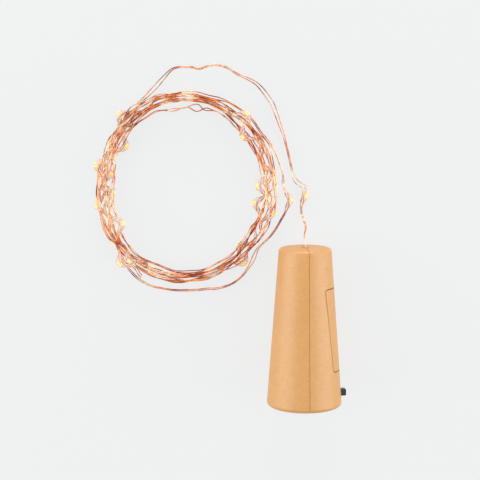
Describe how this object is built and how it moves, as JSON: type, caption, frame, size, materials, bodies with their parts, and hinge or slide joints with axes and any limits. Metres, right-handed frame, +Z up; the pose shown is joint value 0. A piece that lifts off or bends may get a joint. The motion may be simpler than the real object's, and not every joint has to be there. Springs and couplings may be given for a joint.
{
  "type": "cork bottle light",
  "caption": "Cork-shaped battery case with a side battery door and slide switch, and a wound copper wire string of small LED drops, to light up a bottle.",
  "frame": {"origin": "on the surface that the case lies on, below the middle of the case with its door and lever, the string left out", "axes": "+Y from the large end of the cork to its small end where the string leaves, +Z up from the surface, +X towards the battery door and switch lever"},
  "size_m": [0.0749, 0.1014, 0.0223],
  "materials": {
    "cork_plastic": "matte",
    "white_plastic": "satin",
    "nickel_steel": "satin",
    "board_green": "gloss",
    "black_epoxy": "matte",
    "switch_steel": "satin",
    "phenolic_brown": "matte",
    "black_plastic": "satin",
    "red_insulation": "gloss",
    "black_insulation": "gloss",
    "enamelled_copper": "gloss",
    "clear_glue": "gloss",
    "led_phosphor": "satin",
    "cell_steel": "polished",
    "clear_resin": "polished"
  },
  "bodies": {
    "case": {"shell_left": "cork_plastic", "shell_right": "cork_plastic", "battery_cradle": "white_plastic", "positive_contact": "nickel_steel", "negative_contact": "nickel_steel", "negative_spring": "nickel_steel", "circuit_board": "board_green", "timer_chip": "black_epoxy", "resistor": "black_epoxy", "switch_can": "switch_steel", "switch_base": "phenolic_brown", "switch_terminals": "nickel_steel", "battery_lead_red": "red_insulation", "battery_lead_black": "black_insulation", "string_lead_inside": "enamelled_copper", "wire_seal": "clear_glue", "wire_lead": "enamelled_copper", "wire_coil": "enamelled_copper", "led_chips": "led_phosphor", "battery_cell_1": "cell_steel", "battery_cell_2": "cell_steel", "battery_cell_3": "cell_steel", "led_drop_01": "clear_resin", "led_drop_02": "clear_resin", "led_drop_03": "clear_resin", "led_drop_04": "clear_resin", "led_drop_05": "clear_resin", "led_drop_06": "clear_resin", "led_drop_07": "clear_resin", "led_drop_08": "clear_resin", "led_drop_09": "clear_resin", "led_drop_10": "clear_resin", "led_drop_11": "clear_resin", "led_drop_12": "clear_resin", "led_drop_13": "clear_resin", "led_drop_14": "clear_resin", "led_drop_15": "clear_resin", "led_drop_16": "clear_resin", "led_drop_17": "clear_resin", "led_drop_18": "clear_resin", "led_drop_19": "clear_resin", "led_drop_20": "clear_resin"},
    "battery_door": {"battery_door": "cork_plastic"},
    "switch_lever": {"switch_lever": "black_plastic"}
  },
  "joints": [
    {"name": "battery_door_hinge", "type": "hinge", "parent": "case", "child": "battery_door", "pos_m": [0.00805, 0.01198, 0.0077], "axis": [0.1045, 0.0731, 0.9918], "range_deg": [0, 70]},
    {"name": "switch_slide", "type": "slide", "parent": "case", "child": "switch_lever", "axis": [-0.1045, -0.0731, -0.9918], "range_m": [0, 0.002]}
  ]
}
